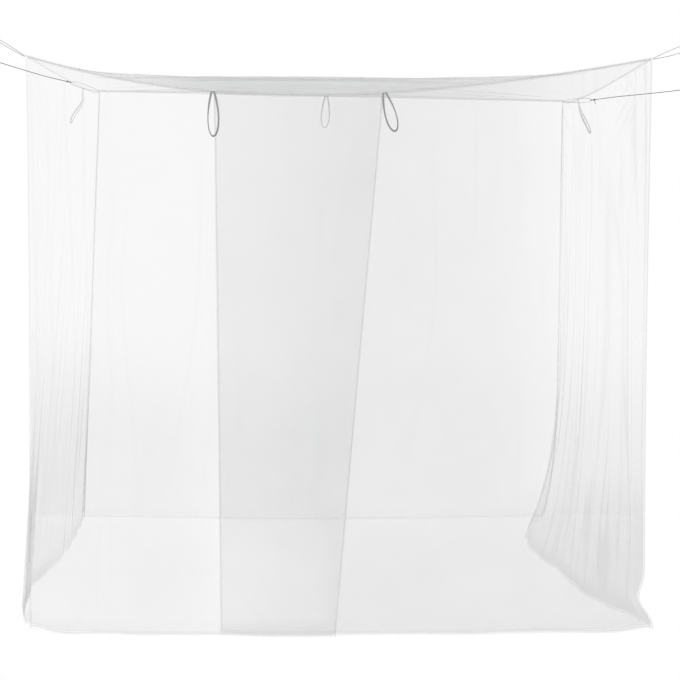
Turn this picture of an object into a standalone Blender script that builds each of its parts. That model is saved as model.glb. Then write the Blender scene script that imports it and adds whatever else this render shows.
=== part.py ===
"""Box mosquito net, hung by its four corners over a bed.

X runs along the front, Y from the front to the rear and Z up, all in metres. The origin is the
middle of the four hanging corners, level with them; the hems touch the floor at -net_height.
"""

import math
from types import SimpleNamespace

import bmesh
import bpy
from mathutils import Matrix, Vector

# Sizes of the net
net_width = 2.00
net_depth = 1.60
net_height = 1.87
net_thickness = 0.0008

# Tapes, hems and the gaps between sewn pieces
tape_thickness = 0.0016
edge_tape_width = 0.012
seam_tape_width = 0.008
facing_width = 0.010
hem_height = 0.015
sewing_gap = 0.0003

# Sag and inward bow of the roof edges
front_sag = 0.115
rear_sag = 0.004
left_sag = 0.045
right_sag = 0.050
front_bow = 0.050
rear_bow = 0.060
side_bow = 0.055
front_skew_share = 0.07

# Ripples in the roof and folds in the walls, in depth and number
ripple_depth = 0.004
ripple_count = 6
ripple_bend_share = 2.0
side_fold_depth = 0.013
side_fold_count = 9
rear_fold_depth = 0.006
rear_fold_count = 4
front_fold_depth = 0.004
front_fold_count = 5
fold_drift_share = 0.35
fold_start_share = 0.20
small_fold_depth_share = 0.35
small_fold_count_share = 1.9
small_fold_turn_share = 1.0

# Entrance: two front panels that overlap, each with a flap that turns up about a slanting fold
panel_first_gap = 0.001
panel_gap = 0.010
panel_parting_share = 0.14
fold_start_drop = 0.250
fold_flat_width = 0.120
flap_floor_gap = 0.002
flap_tip_width = 0.010

# Loops of flat tape
loop_tape_thickness = 0.0012
tie_loop_tape_width = 0.007
tie_loop_length = 0.140
tie_loop_spread = 0.021
front_loop_lean_degrees = 21
rear_loop_lean_degrees = 17
side_loop_lean_degrees = 22
corner_loop_tape_width = 0.008
corner_loop_spread = 0.012
strand_gap = 0.001

# Cords and their knots
cord_diameter = 0.003
cord_ring_radius = 0.0070
end_ring_radius = 0.011
knot_radius = 0.0034
knot_length = 0.011
knot_tail_length = 0.018
cord_spacing = 0.011

# The four hanging corners: places as shares of half the width, half the depth and the height
corner_shares = {
    "front_left": (-0.990, -1.0, 0.002),
    "front_right": (1.012, -1.0, -0.002),
    "rear_left": (-1.030, 1.0, 0.013),
    "rear_right": (0.988, 1.0, -0.010),
}
# Where the four upright seams meet the floor, as shares of half the width and half the depth
foot_shares = {
    "front_left": (-1.000, -1.106),
    "front_right": (1.010, -1.110),
    "rear_left": (-1.130, 1.0),
    "rear_right": (0.930, 1.0),
}
# How far each hem stands out from a straight line on the floor, as shares of half the width
front_floor_shares = ((0.0, 0.0), (0.5, 0.040), (1.0, 0.0))
rear_floor_shares = ((0.0, 0.0), (0.5, -0.050), (1.0, 0.0))
left_floor_shares = ((0.0, 0.0), (0.09, 0.045), (0.30, 0.075), (0.50, 0.030), (0.70, 0.004), (1.0, 0.0))
right_floor_shares = ((0.0, 0.0), (0.12, -0.012), (0.25, -0.090), (0.45, -0.122), (0.66, -0.165),
                      (0.85, -0.120), (1.0, 0.0))
# How low on its drop a wall leans out to its line on the floor: 1 is evenly, more is lower down
front_lean_shares = ((0.0, 1.5), (0.5, 1.2), (1.0, 3.0))
rear_lean_shares = ((0.0, 1.0), (0.5, 1.6), (1.0, 8.0))
left_lean_shares = ((0.0, 1.5), (0.5, 1.3), (1.0, 1.0))
right_lean_shares = ((0.0, 3.0), (0.3, 4.0), (0.6, 5.0), (1.0, 8.0))
# Free edges of the front panels at the roof and at the floor, as shares of half the width
outer_edge_shares = (0.158, 0.0)
inner_edge_shares = (-0.400, -0.380)
# Where each slanting fold meets the floor, as a share of half the width
outer_fold_foot_share = -0.84
inner_fold_foot_share = 0.84
# Places of three tie loops along their roof edges; the front ones hang over the panels' free edges
rear_loop_place_share = 0.49
left_loop_place_share = 0.50
right_loop_place_share = 0.60
# How far a tie loop hangs to one side, as a share of its drop
front_left_loop_slant_share = -0.02
front_right_loop_slant_share = 0.24
rear_loop_slant_share = -0.06
# Rows of a wall from its top to its hem, as shares of that height
row_shares = (0.0, 0.10, 0.25, 0.42, 0.60, 0.76, 0.88, 0.95, 1.0)
# Radius of a knot's wraps along its length, as shares of the knot's radius
knot_wrap_shares = (0.50, 0.96, 0.80, 1.0, 0.80, 0.96, 0.50)
ring_bite_share = 0.25
tail_droop_share = 3.0
tail_radius_share = 0.45
# Where along a loop of tape it turns its face, and where it is pinched by a cord's ring
twist_start_share = 0.05
twist_share = 0.25
pinch_start_share = 0.33
pinch_fade_share = 0.17
pinch_share = 0.50
# How near a wall's ends its folds fade out, and how full the roof stays towards its edges
fade_share = 0.05
roof_fullness_share = 4.8
roof_lift_share = 0.25

# Steps along the roof edges, which every neighbour of an edge follows
steps_across = 20
steps_back = 25
columns_per_step = 2
panel_upper_rows = 3
panel_lower_rows = 7
flap_steps = 8
loop_steps = 32
ring_steps = 14
cord_sides = 6
knot_sides = 8
route_steps = 40
search_rounds = 4

# Routes of the four cords out from their corners, from the knot in the corner loop to the end loop
cord_routes = {
    "front_left": ((-0.147, -0.031, 0.084), (-0.188, -0.040, 0.107), (-0.230, -0.049, 0.132)),
    "front_right": ((0.147, -0.031, 0.046), (0.188, -0.040, 0.059), (0.230, -0.049, 0.073)),
    "rear_left": ((-0.147, 0.031, 0.043), (-0.240, 0.051, 0.066), (-0.330, 0.070, 0.092),
                  (-0.420, 0.089, 0.120), (-0.509, 0.108, 0.149)),
    "rear_right": ((0.147, 0.031, 0.008), (0.246, 0.052, 0.022), (0.391, 0.083, 0.038),
                   (0.492, 0.104, 0.050), (0.592, 0.126, 0.063)),
}

half_width = net_width / 2
half_depth = net_depth / 2
floor_level = -net_height
up = Vector((0, 0, 1))


# Small helpers

def fade(value):
    """Smooth step from 0 to 1."""
    t = min(max(value, 0.0), 1.0)
    return t * t * (3 - 2 * t)


def mix(a, b, share):
    return a + (b - a) * share


def arch(share):
    """Curve that is 0 at both ends of a span and 1 in its middle."""
    return 4 * share * (1 - share)


def smooth_through(table, at):
    """Value at a place on the smooth curve through the (place, value) pairs of a table."""
    last = len(table) - 1
    k = 0
    while k < last - 1 and at > table[k + 1][0]:
        k += 1
    slopes = []
    for i in (k, k + 1):
        before, after = table[max(i - 1, 0)], table[min(i + 1, last)]
        slopes.append((after[1] - before[1]) / (after[0] - before[0]))
    span = table[k + 1][0] - table[k][0]
    t = (at - table[k][0]) / span
    a, b = table[k][1], table[k + 1][1]
    bend = slopes[0] * (t ** 3 - 2 * t * t + t) + slopes[1] * (t ** 3 - t * t)
    return mix(a, b, fade(t)) + span * bend


def corner(name):
    x, y, z = corner_shares[name]
    return Vector((x * half_width, y * half_depth, z * net_height))


def foot(name):
    x, y = foot_shares[name]
    return Vector((x * half_width, y * half_depth, floor_level))


# Roof edges and hanging walls

def edge_curve(wall, s):
    """Smooth line of a roof edge, which sags and bows inwards between two corners."""
    w = s + wall.skew_share * math.sin(math.pi * s)
    point = corner(wall.start).lerp(corner(wall.end), s)
    point -= wall.outward * (wall.bow * arch(s))
    point.z -= wall.sag * arch(w)
    return point


def roof_edge(wall, s):
    """Point on a roof edge, as straight runs between its steps."""
    place = min(max(s, 0.0), 1.0) * wall.steps
    k = min(int(place), wall.steps - 1)
    return edge_curve(wall, k / wall.steps).lerp(edge_curve(wall, (k + 1) / wall.steps), place - k)


def floor_line(wall, s):
    point = foot(wall.start).lerp(foot(wall.end), s)
    return point + wall.outward * (smooth_through(wall.floor_shares, s) * half_width)


def fold_wave(wall, s, drop):
    """Folds that start below the roof edge and drift a little along the wall on their way down."""
    turn = math.tau * (wall.fold_count * s + fold_drift_share * drop * math.sin(math.tau * s))
    wave = math.sin(turn)
    wave += small_fold_depth_share * math.sin(small_fold_count_share * turn + small_fold_turn_share)
    return wave * fade(s / fade_share) * fade((1 - s) / fade_share) * fade(drop / fold_start_share)


def hang(wall, s, z):
    """Point of a hanging wall at the height z and the share s of the way along it."""
    top = roof_edge(wall, s)
    drop = max((top.z - z) / (top.z - floor_level), 0.0)
    point = top.lerp(floor_line(wall, s), drop ** smooth_through(wall.lean_shares, s))
    point.z = z
    return point + wall.outward * (wall.fold_depth * fold_wave(wall, s, drop))


front_wall = SimpleNamespace(
    start="front_left", end="front_right", outward=Vector((0, -1, 0)), steps=steps_across,
    bow=front_bow, sag=front_sag, skew_share=front_skew_share, floor_shares=front_floor_shares,
    lean_shares=front_lean_shares, fold_depth=front_fold_depth, fold_count=front_fold_count)
rear_wall = SimpleNamespace(
    start="rear_left", end="rear_right", outward=Vector((0, 1, 0)), steps=steps_across, columns_per_step=1,
    bow=rear_bow, sag=rear_sag, skew_share=0.0, floor_shares=rear_floor_shares,
    lean_shares=rear_lean_shares, fold_depth=rear_fold_depth, fold_count=rear_fold_count)
left_wall = SimpleNamespace(
    start="front_left", end="rear_left", outward=Vector((-1, 0, 0)), steps=steps_back,
    columns_per_step=columns_per_step, bow=side_bow, sag=left_sag, skew_share=0.0,
    floor_shares=left_floor_shares,
    lean_shares=left_lean_shares, fold_depth=side_fold_depth, fold_count=side_fold_count)
right_wall = SimpleNamespace(
    start="front_right", end="rear_right", outward=Vector((1, 0, 0)), steps=steps_back,
    columns_per_step=columns_per_step, bow=side_bow, sag=right_sag, skew_share=0.0,
    floor_shares=right_floor_shares,
    lean_shares=right_lean_shares, fold_depth=side_fold_depth, fold_count=side_fold_count)


# Materials and mesh building

def principled(name, colour, roughness):
    material = bpy.data.materials.new(name)
    material.use_nodes = True
    shader = material.node_tree.nodes["Principled BSDF"]
    shader.inputs["Base Color"].default_value = (*colour, 1.0)
    shader.inputs["Roughness"].default_value = roughness
    material.diffuse_color = (*colour, 1.0)
    return material


def clear_scene():
    for item in list(bpy.data.objects):
        bpy.data.objects.remove(item, do_unlink=True)


def pivot(name, place, axis):
    """Empty on a joint's axis, with its own Z along the axis."""
    empty = bpy.data.objects.new(name, None)
    turn = axis.to_track_quat("Z", "Y").to_matrix().to_4x4()
    empty.matrix_world = Matrix.Translation(place) @ turn
    bpy.context.scene.collection.objects.link(empty)
    return empty


def add_mesh(name, points, faces, look, carrier=None):
    """Object made from world points; on a carrier its mesh is kept in the carrier's own frame."""
    mesh = bpy.data.meshes.new(name)
    mesh.from_pydata([tuple(p) for p in points], [], faces)
    shape = bmesh.new()
    shape.from_mesh(mesh)
    bmesh.ops.recalc_face_normals(shape, faces=shape.faces)
    shape.to_mesh(mesh)
    shape.free()
    item = bpy.data.objects.new(name, mesh)
    item.data.materials.append(look)
    bpy.context.scene.collection.objects.link(item)
    if carrier:
        mesh.transform(carrier.matrix_world.inverted())
        item.parent = carrier
    return item


def grid_normals(grid, upright):
    """Surface directions at the points of a grid; upright ones are kept level with the floor."""
    rows, columns = len(grid), len(grid[0])
    normals = []
    for i in range(rows):
        line = []
        for j in range(columns):
            down = grid[min(i + 1, rows - 1)][j] - grid[max(i - 1, 0)][j]
            across = grid[i][min(j + 1, columns - 1)] - grid[i][max(j - 1, 0)]
            normal = down.cross(across)
            if upright:
                normal.z = 0
            line.append(normal.normalized())
        normals.append(line)
    return normals


def thick_sheet(name, grid, thickness, look, carrier=None, upright=False):
    """Closed solid of an even thickness whose middle surface runs through a grid of points."""
    rows, columns = len(grid), len(grid[0])
    normals = grid_normals(grid, upright)
    points = []
    for side in (0.5, -0.5):
        for i in range(rows):
            points += [grid[i][j] + normals[i][j] * (thickness * side) for j in range(columns)]
    back = rows * columns
    faces = []
    for i in range(rows - 1):
        for j in range(columns - 1):
            a, b = i * columns + j, i * columns + j + 1
            c, d = b + columns, a + columns
            faces += [(a, b, c), (a, c, d), (back + a, back + c, back + b), (back + a, back + d, back + c)]
    rim = [j for j in range(columns)]
    rim += [i * columns + columns - 1 for i in range(1, rows)]
    rim += [(rows - 1) * columns + j for j in range(columns - 2, -1, -1)]
    rim += [i * columns for i in range(rows - 2, 0, -1)]
    for a, b in zip(rim, rim[1:] + rim[:1]):
        faces += [(a, back + a, back + b), (a, back + b, b)]
    return add_mesh(name, points, faces, look, carrier)


# Net walls, roof and the tapes along them

def seam_inset(thickness):
    """Distance from a corner line at which a sheet clears the tape set across that corner."""
    return (tape_thickness / 2 + sewing_gap) * math.sqrt(2) + thickness / 2


def wall_length(wall):
    return (corner(wall.end) - corner(wall.start)).length


def wall_places(wall, thickness):
    """Places of a wall's columns, with both ends drawn in from the corner seams."""
    steps = wall.steps * wall.columns_per_step
    end = seam_inset(thickness) / wall_length(wall)
    return [end] + [k / steps for k in range(1, steps)] + [1 - end]


def hem_top():
    return floor_level + hem_height


def wall_net(name, wall, look):
    places = wall_places(wall, net_thickness)
    bottom = hem_top() + sewing_gap
    grid = []
    for row in row_shares:
        line = []
        for s in places:
            top = roof_edge(wall, s).z - edge_tape_width / 2 - sewing_gap
            line.append(hang(wall, s, mix(top, bottom, row)))
        grid.append(line)
    return thick_sheet(name, grid, net_thickness, look)


def wall_hem(name, wall, look):
    places = wall_places(wall, tape_thickness)
    grid = [[hang(wall, s, floor_level), hang(wall, s, hem_top())] for s in places]
    return thick_sheet(name, grid, tape_thickness, look, upright=True)


def edge_tape(name, wall, look):
    end = (tape_thickness / 2 + sewing_gap) / wall_length(wall)
    places = [end] + [k / wall.steps for k in range(1, wall.steps)] + [1 - end]
    half = up * (edge_tape_width / 2)
    grid = [[roof_edge(wall, s) - half, roof_edge(wall, s) + half] for s in places]
    return thick_sheet(name, grid, tape_thickness, look, upright=True)


def corner_seam(name, wall, s, outward, look):
    """Upright tape that joins two walls, set across their corner and standing outwards."""
    peak = roof_edge(wall, s).z
    top = peak - edge_tape_width / 2 - sewing_gap
    levels = [peak + edge_tape_width / 2]
    levels += [mix(top, hem_top() + sewing_gap, row) for row in row_shares]
    levels += [floor_level]
    grid = []
    for z in levels:
        inner = hang(wall, s, z)
        grid.append([inner, inner + outward * seam_tape_width])
    return thick_sheet(name, grid, tape_thickness, look, upright=True)


def roof_point(u, t):
    """Point of the roof, which stays high in its middle and falls steeply to its sagging edges."""
    front, rear = roof_edge(front_wall, u), roof_edge(rear_wall, u)
    left, right = roof_edge(left_wall, t), roof_edge(right_wall, t)
    corners = [corner(name) for name in ("front_left", "front_right", "rear_left", "rear_right")]
    ruled = corners[0].lerp(corners[1], u).lerp(corners[2].lerp(corners[3], u), t)
    point = front.lerp(rear, t) + left.lerp(right, u) - ruled
    rise = 1 - (1 - t) ** roof_fullness_share
    left_level = mix(corners[0].z, corners[2].z, rise)
    right_level = mix(corners[1].z, corners[3].z, rise)
    point.z = mix(front.z, rear.z, rise)
    point.z += (left.z - left_level) * (1 - u) ** roof_fullness_share
    point.z += (right.z - right_level) * u ** roof_fullness_share
    turn = math.tau * ripple_count * t + ripple_bend_share * math.sin(math.pi * u)
    point.z += ripple_depth * arch(u) * arch(t) * math.sin(turn)
    return point


def roof_net(look):
    inset = tape_thickness / 2 + sewing_gap
    end_u, end_t = inset / net_width, inset / net_depth
    across = [end_u] + [k / steps_across for k in range(1, steps_across)] + [1 - end_u]
    back = [end_t] + [k / steps_back for k in range(1, steps_back)] + [1 - end_t]
    lift = up * (edge_tape_width * roof_lift_share)
    grid = [[roof_point(u, t) + lift for u in across] for t in back]
    return thick_sheet("roof_net", grid, net_thickness, look)


# Front panels, each cut along a slanting fold into a hanging part and a flap

def front_place(x, z):
    """Share of the way along the front at which the hanging wall has a given X."""
    s = x / net_width + 0.5
    for _ in range(search_rounds):
        s = min(max(s, 0.0), 1.0)
        s += (x - hang(front_wall, s, z).x) / net_width
    return s


def hanging_y(panel, x, z):
    """Y of a front panel as it hangs, with the outer and the inner panel held apart."""
    s = front_place(x, z)
    top = roof_edge(front_wall, s)
    drop = max((top.z - z) / net_height, 0.0)
    from_seam = s if panel.way > 0 else 1 - s
    apart = mix(panel_first_gap, panel_gap, fade(drop / panel_parting_share)) * fade(from_seam / fade_share)
    return hang(front_wall, s, z).y + panel.swing * apart


def edge_x(panel, z):
    """X of a panel's free edge at a height."""
    return mix(panel.edge_top, panel.edge_foot, (panel.top_z - z) / (panel.top_z - floor_level))


def fold_x(panel, z):
    """X of a panel's slanting fold at a height."""
    return mix(panel.fold_foot, panel.fold_head, (z - floor_level) / (panel.head_z - floor_level))


def fold_height(panel, from_edge, past_fold):
    """Height at which a line from_edge inside the free edge meets the fold, moved past_fold along X."""
    low, high = floor_level, panel.head_z
    low_gap = edge_x(panel, low) - fold_x(panel, low)
    high_gap = edge_x(panel, high) - fold_x(panel, high)
    wanted = panel.way * (from_edge + past_fold)
    return mix(low, high, (wanted - low_gap) / (high_gap - low_gap))


def make_panel(way, swing, edge_shares, fold_foot_share):
    """A front panel: way is +1 if its free edge lies to the right, swing is the Y its flap opens to."""
    panel = SimpleNamespace(way=way, swing=swing)
    panel.edge_top = edge_shares[0] * half_width
    panel.edge_foot = edge_shares[1] * half_width
    panel.fold_foot = fold_foot_share * half_width
    panel.top_z = roof_edge(front_wall, front_place(panel.edge_top, 0.0)).z
    panel.head_z = panel.top_z - fold_start_drop
    panel.fold_head = edge_x(panel, panel.head_z)
    head = Vector((panel.fold_head, hanging_y(panel, panel.fold_head, panel.head_z), panel.head_z))
    heel = Vector((panel.fold_foot, hanging_y(panel, panel.fold_foot, floor_level), floor_level))
    tip = Vector((panel.edge_foot, hanging_y(panel, panel.edge_foot, floor_level), floor_level))
    panel.head, panel.heel = head, heel
    panel.normal = (head - heel).cross(tip - heel).normalized()
    panel.normal *= math.copysign(1, panel.normal.y * swing)
    run = head - heel
    panel.gap_x = sewing_gap / 2 * math.hypot(run.x, run.z) / run.z
    return panel


def panel_point(panel, x, z):
    """Point of a front panel: as it hangs, but flat beside the fold, so that the flap can turn."""
    flat_y = panel.heel.y
    flat_y -= (panel.normal.x * (x - panel.heel.x) + panel.normal.z * (z - panel.heel.z)) / panel.normal.y
    run = panel.head - panel.heel
    away = abs((x - panel.heel.x) * run.z - (z - panel.heel.z) * run.x) / math.hypot(run.x, run.z)
    return Vector((x, mix(flat_y, hanging_y(panel, x, z), fade(away / fold_flat_width)), z))


def seam_x(panel, z, thickness):
    """X at which a panel ends beside its corner seam."""
    s = 0 if panel.way > 0 else 1
    return hang(front_wall, s, z).x + panel.way * seam_inset(thickness)


def column_shares(start, end):
    """Columns of a panel as shares of its width, one under each step of the roof edge above it."""
    low, high = sorted((start, end))
    steps = [roof_edge(front_wall, k / steps_across).x for k in range(steps_across + 1)]
    inside = [(x - start) / (end - start) for x in steps if low + sewing_gap < x < high - sewing_gap]
    return [0.0] + sorted(inside) + [1.0]


def panel_net(name, panel, look):
    """Hanging part of a panel: rows down to the head of the fold, then level rows down to the hem."""
    inner = facing_width + sewing_gap
    knee = fold_height(panel, inner, -panel.gap_x)
    bottom = hem_top() + sewing_gap
    below_tape = edge_tape_width / 2 + sewing_gap
    shares = column_shares(seam_x(panel, 0.0, net_thickness), panel.edge_top - panel.way * inner)
    grid = []
    for k in range(panel_upper_rows + 1):
        line = []
        for share in shares:
            start = seam_x(panel, mix(0.0, knee, k / panel_upper_rows), net_thickness)
            x = mix(start, panel.edge_top - panel.way * inner, share)
            for _ in range(search_rounds):
                top = roof_edge(front_wall, front_place(x, 0.0)).z - below_tape
                z = mix(top, knee, k / panel_upper_rows)
                x = mix(start, edge_x(panel, z) - panel.way * inner, share)
            line.append(panel_point(panel, x, z))
        grid.append(line)
    for k in range(1, panel_lower_rows + 1):
        z = mix(knee, bottom, k / panel_lower_rows)
        start = seam_x(panel, z, net_thickness)
        end = fold_x(panel, z) - panel.way * panel.gap_x
        grid.append([panel_point(panel, mix(start, end, share), z) for share in shares])
    return thick_sheet(name, grid, net_thickness, look)


def flap_net(name, panel, look, carrier):
    inner = facing_width + sewing_gap
    peak = fold_height(panel, inner + flap_tip_width, panel.gap_x)
    bottom = hem_top() + flap_floor_gap + sewing_gap
    grid = []
    for k in range(flap_steps + 1):
        z = mix(peak, bottom, k / flap_steps)
        start = fold_x(panel, z) + panel.way * panel.gap_x
        end = edge_x(panel, z) - panel.way * inner
        shares = [j / flap_steps for j in range(flap_steps + 1)]
        grid.append([panel_point(panel, mix(start, end, share), z) for share in shares])
    return thick_sheet(name, grid, net_thickness, look, carrier)


def facing(name, panel, look, carrier=None):
    """Tape along a free edge: above the fold on the panel, or below it on the flap that carries it."""
    rows = flap_steps if carrier else panel_upper_rows
    past = panel.gap_x if carrier else -panel.gap_x
    ends = [fold_height(panel, inset, past) for inset in (facing_width, 0.0)]
    grid = []
    for k in range(rows + 1):
        line = []
        for inset, end in zip((facing_width, 0.0), ends):
            far = floor_level + flap_floor_gap
            if not carrier:
                x = panel.edge_top - panel.way * inset
                far = roof_edge(front_wall, front_place(x, 0.0)).z - edge_tape_width / 2 - sewing_gap
            z = mix(far, end, k / rows)
            line.append(panel_point(panel, edge_x(panel, z) - panel.way * inset, z))
        grid.append(line)
    return thick_sheet(name, grid, tape_thickness, look, carrier)


def front_hem(name, panel, look, carrier=None):
    """Hem under a panel, from the corner seam to the fold, or under its flap."""
    steps = flap_steps if carrier else panel_upper_rows
    low = floor_level + (flap_floor_gap if carrier else 0)
    grid = []
    for j in range(steps + 1):
        line = []
        for z in (low, low + hem_height):
            start = seam_x(panel, z, tape_thickness)
            end = fold_x(panel, z) - panel.way * panel.gap_x
            if carrier:
                start = fold_x(panel, z) + panel.way * panel.gap_x
                end = edge_x(panel, z) - panel.way * (facing_width + sewing_gap)
            line.append(panel_point(panel, mix(start, end, j / steps), z))
        grid.append(line)
    return thick_sheet(name, grid, tape_thickness, look, carrier, upright=True)


def swing_axis(place, axis, carried, towards):
    """The axis, turned so that a positive angle moves the carried point towards a direction."""
    if axis.cross(carried - place).dot(towards) < 0:
        axis = -axis
    return axis.normalized()


def flap_pivot(name, panel):
    """Pivot along the fold, on the face of the tapes that the flap turns towards."""
    place = panel.heel + panel.normal * (tape_thickness / 2)
    tip = Vector((panel.edge_foot, panel.heel.y, floor_level))
    axis = swing_axis(place, panel.head - panel.heel, tip, Vector((0, panel.swing, 0)))
    return pivot(name, place, axis)


# Loops of tape

def tape_loop(name, start, reach, side, look, spread, tape_width, twisted, pinch, carrier=None):
    """Teardrop of flat tape: both ends at the start, its bend at start + reach, open along side."""
    length = reach.length
    along = reach.normalized()
    side = (side - along * side.dot(along)).normalized()
    normal = along.cross(side)
    part = tape_width if twisted else loop_tape_thickness
    base = (part + strand_gap) / 2
    centres = []
    for k in range(loop_steps + 1):
        angle = math.tau * k / loop_steps
        far = (1 - math.cos(angle)) / 2
        half = base * (1 - far) * math.copysign(1, math.pi - angle)
        half += spread * math.sin(angle) * math.sin(angle / 2)
        centres.append(start + along * (length * far) + side * half)
    grid = []
    for k, centre in enumerate(centres):
        ahead = centres[min(k + 1, loop_steps)] - centres[max(k - 1, 0)]
        if k in (0, loop_steps):
            ahead = along * (1 - 2 * k / loop_steps)
        flat = ahead.cross(normal).normalized()
        turn = math.pi / 2
        from_end = min(k, loop_steps - k) / loop_steps
        if twisted:
            turn *= fade((from_end - twist_start_share) / twist_share)
        across = flat * math.cos(turn) + normal * math.sin(turn)
        width = tape_width * mix(1, pinch, fade((from_end - pinch_start_share) / pinch_fade_share))
        grid.append([centre - across * (width / 2), centre + across * (width / 2)])
    return thick_sheet(name, grid, loop_tape_thickness, look, carrier)


def tie_loop(name, wall, s, lean_degrees, sideways_share, look):
    """Hanging loop sewn to the outer face of a roof edge's tape; it swings about its sewn ends."""
    off_face = tape_thickness / 2 + sewing_gap + loop_tape_thickness / 2
    lean = math.radians(lean_degrees)
    off_face += abs(sideways_share) * math.sin(lean) * (tie_loop_tape_width + strand_gap / 2)
    start = roof_edge(wall, s) + wall.outward * off_face
    step = roof_edge(wall, s + 1 / wall.steps) - roof_edge(wall, s - 1 / wall.steps)
    hanging = wall.outward * math.sin(lean) - up * math.cos(lean) + step.normalized() * sideways_share
    reach = hanging.normalized() * tie_loop_length
    axis = swing_axis(start, step, start + reach, wall.outward)
    carrier = pivot(name + "_pivot", start, axis)
    tape_loop(name, start, reach, step, look, tie_loop_spread, tie_loop_tape_width, True, 1.0, carrier)


def corner_loop(name, at, look):
    """Loop sewn into a hanging corner, drawn out towards the ring of its cord."""
    route = cord_route(at)
    ahead = (route[1] - route[0]).normalized()
    out = corner_outward(at)
    ring_centre = route[0] - ahead * (cord_ring_radius + knot_length * ring_bite_share)
    room = cord_ring_radius - cord_diameter / 2 - sewing_gap * 2
    half_width_at_bend = corner_loop_tape_width * pinch_share / 2
    back = math.sqrt(room ** 2 - half_width_at_bend ** 2) - loop_tape_thickness / 2
    bend = ring_centre - ahead * back
    along = (bend - corner(at)).normalized()
    slant = math.acos(min(out.dot(Vector((along.x, along.y, 0)).normalized()), 1.0))
    lean_back = abs(along.z) * (loop_tape_thickness + strand_gap)
    clear = (tape_thickness / 2 * math.sin(slant) + sewing_gap + lean_back) / math.cos(slant)
    start = corner(at) + out * (seam_tape_width + clear)
    tape_loop(name, start, bend - start, up, look, corner_loop_spread, corner_loop_tape_width, False,
              pinch_share)


def corner_outward(at):
    """Level direction in which the seam tape of a corner stands, between its two walls."""
    x, y, _ = corner_shares[at]
    return Vector((math.copysign(1, x), math.copysign(1, y), 0)).normalized()


# Cords, their knots and their end loops

def cord_route(at):
    return [corner(at) + Vector(point) for point in cord_routes[at]]


def smooth_route(points, spacing):
    """Even points on the smooth curve through a route's own points."""
    fine = []
    for k in range(len(points) - 1):
        before, after = points[max(k - 1, 0)], points[min(k + 2, len(points) - 1)]
        pull_a, pull_b = (points[k + 1] - before) / 2, (after - points[k]) / 2
        for step in range(route_steps):
            t = step / route_steps
            bend = pull_a * (t ** 3 - 2 * t * t + t) + pull_b * (t ** 3 - t * t)
            fine.append(points[k].lerp(points[k + 1], fade(t)) + bend)
    fine.append(points[-1])
    runs = [0.0]
    for a, b in zip(fine, fine[1:]):
        runs.append(runs[-1] + (b - a).length)
    ends = knot_length / 2 + sewing_gap
    count = max(round((runs[-1] - 2 * ends) / spacing), len(points))
    even, k = [], 0
    for step in range(count + 1):
        wanted = mix(ends, runs[-1] - ends, step / count)
        while k < len(runs) - 2 and runs[k + 1] < wanted:
            k += 1
        even.append(fine[k].lerp(fine[k + 1], (wanted - runs[k]) / (runs[k + 1] - runs[k])))
    return even


def cord(name, at, look):
    """Taut cord between two knots, as a round tube with closed ends."""
    points = smooth_route(cord_route(at), cord_spacing)
    curve = bpy.data.curves.new(name, "CURVE")
    curve.dimensions = "3D"
    curve.bevel_depth = cord_diameter / 2
    curve.bevel_resolution = 2
    curve.use_fill_caps = True
    spline = curve.splines.new("POLY")
    spline.points.add(len(points) - 1)
    for place, point in zip(spline.points, points):
        place.co = (*point, 1.0)
    item = bpy.data.objects.new(name, curve)
    curve.materials.append(look)
    bpy.context.scene.collection.objects.link(item)
    return item


def turned(name, rings, look):
    """Closed solid through rings of points, with a fan of faces at either end."""
    count = len(rings[0])
    points = [point for ring in rings for point in ring]
    faces = []
    for r in range(len(rings) - 1):
        for k in range(count):
            a, b = r * count + k, r * count + (k + 1) % count
            faces.append((a, b, b + count, a + count))
    faces.append(tuple(range(count)))
    faces.append(tuple(range(len(points) - count, len(points))))
    return add_mesh(name, points, faces, look)


def circle(centre, x_axis, y_axis, radius, count):
    turns = [math.tau * k / count for k in range(count)]
    return [centre + x_axis * (radius * math.cos(a)) + y_axis * (radius * math.sin(a)) for a in turns]


def ring(name, centre, ahead, side, radius, look):
    """Ring of cord in the plane of two directions."""
    normal = ahead.cross(side)
    points, faces = [], []
    for k in range(ring_steps):
        angle = math.tau * k / ring_steps
        out = ahead * math.cos(angle) + side * math.sin(angle)
        points += circle(centre + out * radius, out, normal, cord_diameter / 2, cord_sides)
    for k in range(ring_steps):
        here, beyond = k * cord_sides, ((k + 1) % ring_steps) * cord_sides
        for j in range(cord_sides):
            following = (j + 1) % cord_sides
            faces.append((here + j, here + following, beyond + following, beyond + j))
    return add_mesh(name, points, faces, look)


def join_to(item, other):
    """Makes two solids one; the second stays behind as a guide that isn't rendered."""
    union = item.modifiers.new("join", "BOOLEAN")
    union.operation = "UNION"
    union.solver = "EXACT"
    union.object = other
    other.hide_render = True
    other.display_type = "WIRE"


def knot(name, centre, ahead, ring_radius, ring_way, look, tail=False):
    """Wrapped knot with a ring of cord before it or behind it, and a loose tail if it has one."""
    side = ahead.cross(up).normalized()
    top = side.cross(ahead)
    ring_centre = centre + ahead * (ring_way * (ring_radius + knot_length * ring_bite_share))
    item = ring(name, ring_centre, ahead, side, ring_radius, look)
    rings = []
    for k, share in enumerate(knot_wrap_shares):
        along = mix(-knot_length / 2, knot_length / 2, k / (len(knot_wrap_shares) - 1))
        rings.append(circle(centre + ahead * along, side, top, knot_radius * share, knot_sides))
    join_to(item, turned(name + "_wraps_guide", rings, look))
    if tail:
        hanging = (ahead - up * tail_droop_share).normalized()
        across = side.cross(hanging)
        radius = cord_diameter * tail_radius_share
        rings = []
        for along in (0.0, knot_tail_length / 2, knot_tail_length):
            rings.append(circle(centre + hanging * along, side, across, radius, cord_sides))
        join_to(item, turned(name + "_tail_guide", rings, look))
    return item


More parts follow.
